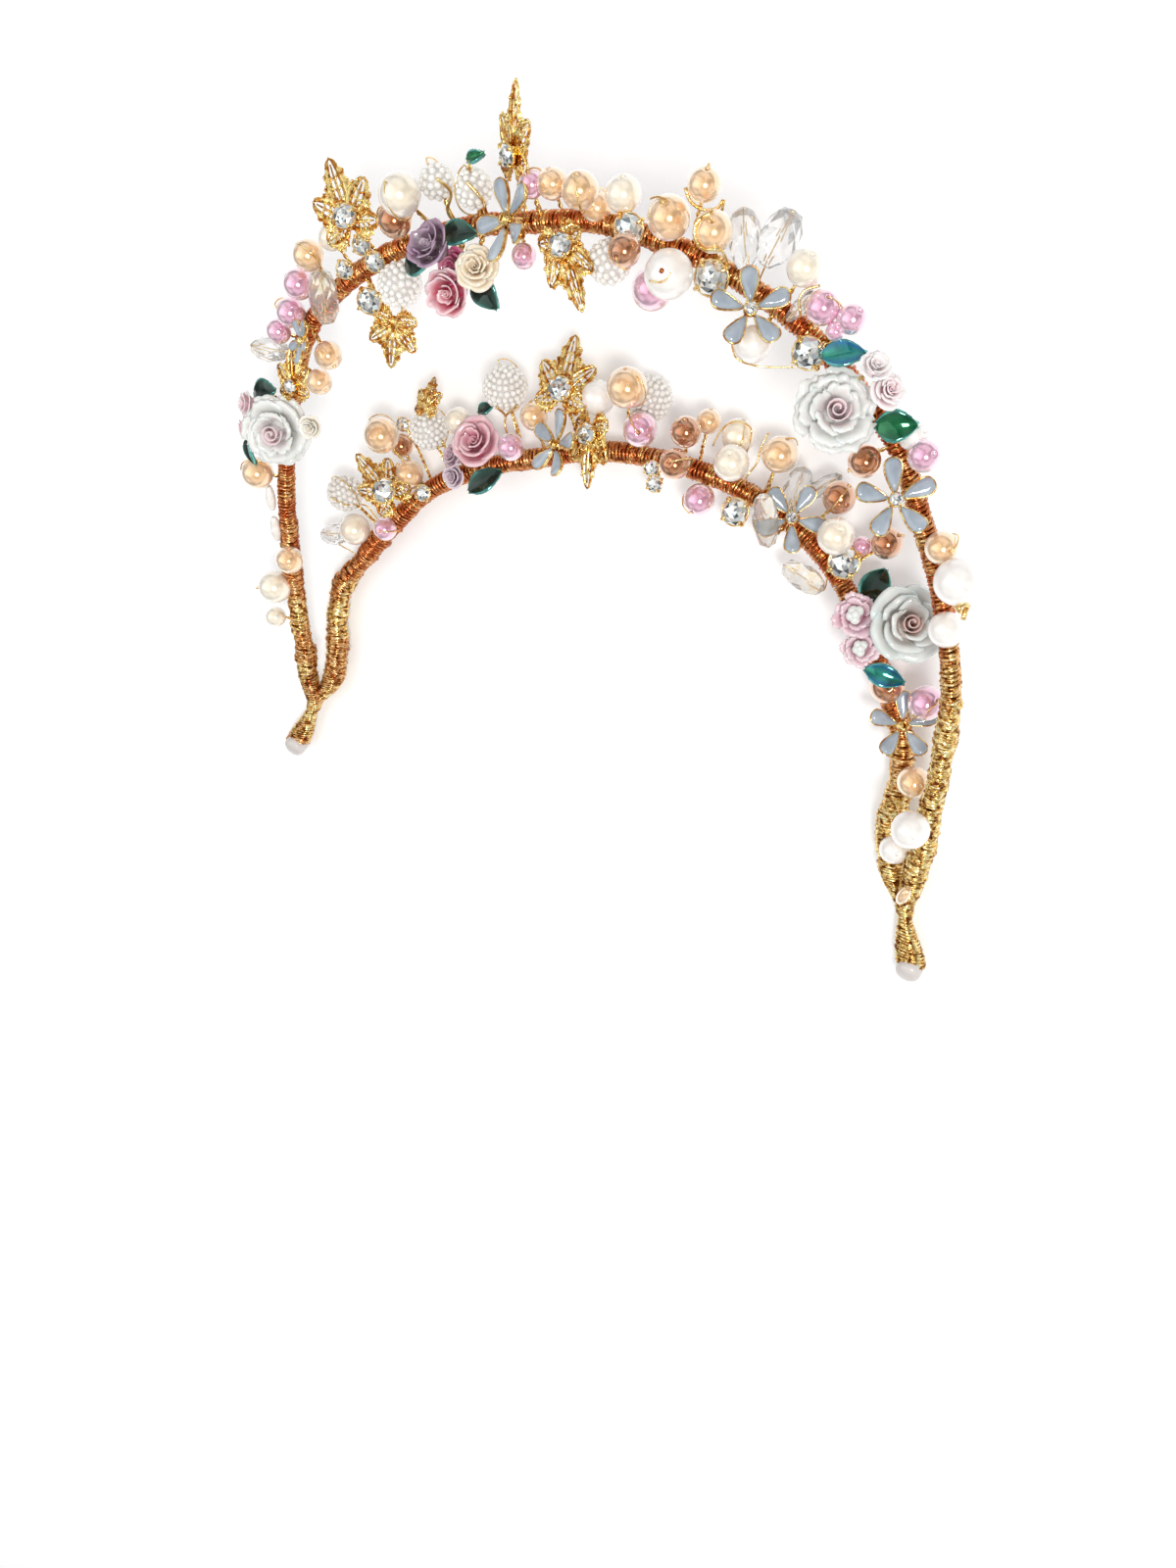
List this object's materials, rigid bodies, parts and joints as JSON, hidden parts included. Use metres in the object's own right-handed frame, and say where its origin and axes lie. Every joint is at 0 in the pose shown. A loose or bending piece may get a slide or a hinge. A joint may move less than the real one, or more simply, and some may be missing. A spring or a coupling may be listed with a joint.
{
  "type": "headband",
  "caption": "Double-arch halo headband of wound wire, set with pearls, enamel flowers, porcelain roses, crystals and pierced gold leaves; worn over the crown of the head.",
  "frame": {"origin": "middle of the bounding box's underside, on the floor that the headband lies on", "axes": "+X from the wearer's right tip to the left tip seen from the front, +Y from the two tips to the top of the arches, +Z the front as worn"},
  "size_m": [0.167, 0.1496, 0.0584],
  "materials": {
    "cap": "plain white",
    "crystal": "clear cut glass",
    "enamel": "grey-white enamel",
    "gold": "polished gold plate",
    "gold_thread": "metallic gold thread",
    "lacquer": "dark green lacquer with a sheen",
    "pearl_bronze": "pearl",
    "pearl_ivory": "pearl",
    "pearl_peach": "pearl",
    "pearl_pink": "pearl",
    "pearl_white": "pearl",
    "porcelain": "glazed white and pink",
    "wound_wire": "bright copper-gold wire wound close"
  },
  "bodies": {
    "root": {"crystal_front": "crystal", "enamel_flower_1": "enamel", "enamel_flower_2": "enamel", "enamel_flower_3": "enamel", "enamel_flower_4": "enamel", "enamel_flower_5": "enamel", "enamel_flower_6": "enamel", "enamel_flower_7": "enamel", "gold_leaf_1": "gold", "gold_leaf_2": "gold", "gold_leaf_3": "gold", "gold_leaf_4": "gold", "gold_leaf_5": "gold", "gold_leaf_6": "gold", "gold_leaf_7": "gold", "gold_leaf_8": "gold", "gold_leaf_9": "gold", "green_leaf_1": "lacquer", "green_leaf_10": "lacquer", "green_leaf_2": "lacquer", "green_leaf_3": "lacquer", "green_leaf_4": "lacquer", "green_leaf_5": "lacquer", "green_leaf_6": "lacquer", "green_leaf_7": "lacquer", "green_leaf_8": "lacquer", "green_leaf_9": "lacquer", "left_cap": "cap", "left_tip": "gold_thread", "lower_band": "wound_wire", "pearl_lower_01_peach": "pearl_peach", "pearl_lower_02_pink": "pearl_pink", "pearl_lower_03_peach": "pearl_peach", "pearl_lower_04_pink": "pearl_pink", "pearl_lower_05_bronze": "pearl_bronze", "pearl_lower_06_bronze": "pearl_bronze", "pearl_lower_07_pink": "pearl_pink", "pearl_lower_08_ivory": "pearl_ivory", "pearl_lower_09_peach": "pearl_peach", "pearl_lower_10_bronze": "pearl_bronze", "pearl_lower_11_ivory": "pearl_ivory", "pearl_lower_12_bronze": "pearl_bronze", "pearl_lower_13_pink": "pearl_pink", "pearl_lower_14_peach": "pearl_peach", "pearl_lower_15_white": "pearl_white", "pearl_upper_01_ivory": "pearl_ivory", "pearl_upper_02_peach": "pearl_peach", "pearl_upper_03_peach": "pearl_peach", "pearl_upper_04_white": "pearl_white", "pearl_upper_05_white": "pearl_white", "pearl_upper_06_bronze": "pearl_bronze", "pearl_upper_07_white": "pearl_white", "right_cap": "cap", "right_tip": "gold_thread", "roses_left": "porcelain", "roses_lower_left": "porcelain", "roses_lower_right": "porcelain", "roses_right": "porcelain", "roses_top": "porcelain", "upper_band": "wound_wire"}
  },
  "joints": []
}
